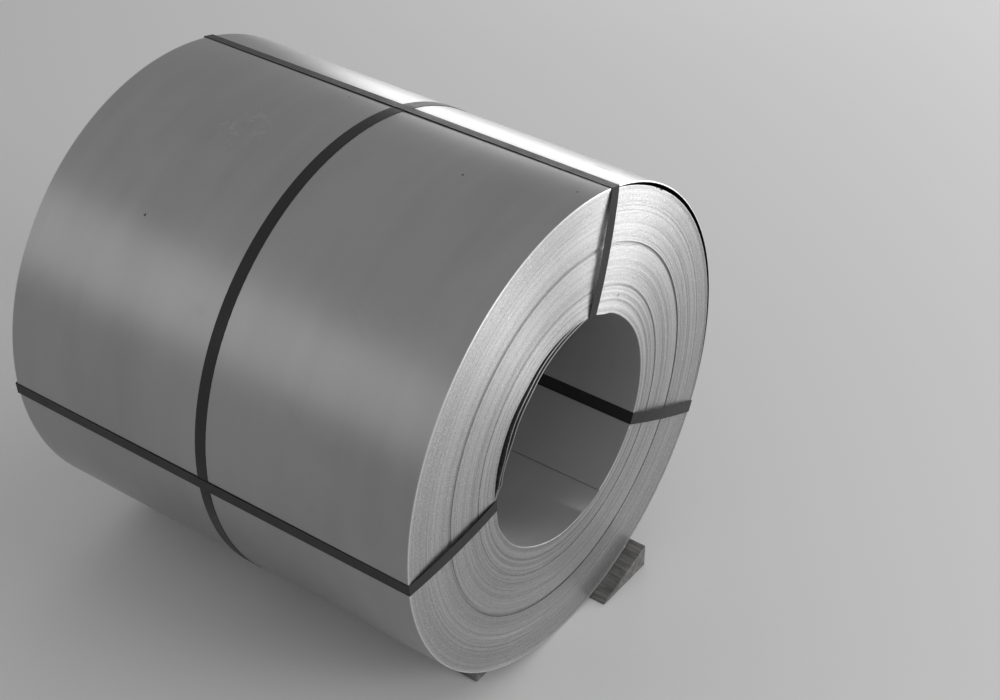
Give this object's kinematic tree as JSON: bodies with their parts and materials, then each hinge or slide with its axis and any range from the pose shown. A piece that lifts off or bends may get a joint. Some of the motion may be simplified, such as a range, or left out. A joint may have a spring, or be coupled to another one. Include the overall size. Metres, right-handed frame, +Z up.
{
  "type": "steel coil",
  "caption": "Coil of steel strip on its side, strapped round its girth and through its bore, on timber chocks.",
  "frame": {"origin": "on the floor, below the middle of the coil", "axes": "+Z up, Y along the coil's axis with the near end at -Y, +X to the right seen from the near end"},
  "size_m": [1.2681, 1.336, 1.266],
  "materials": {
    "coil_steel": "satin, oiled",
    "strapping": "waxed black",
    "seal_steel": "dull",
    "timber": "rough sawn"
  },
  "bodies": {
    "root": {"coil": "coil_steel", "girth_strap": "strapping", "girth_seal": "seal_steel", "eye_strap_top": "strapping", "eye_seal_top": "seal_steel", "eye_strap_right": "strapping", "eye_seal_right": "seal_steel", "eye_strap_left": "strapping", "eye_seal_left": "seal_steel", "chock_front_right": "timber", "chock_front_left": "timber", "chock_back_right": "timber", "chock_back_left": "timber"}
  },
  "joints": []
}
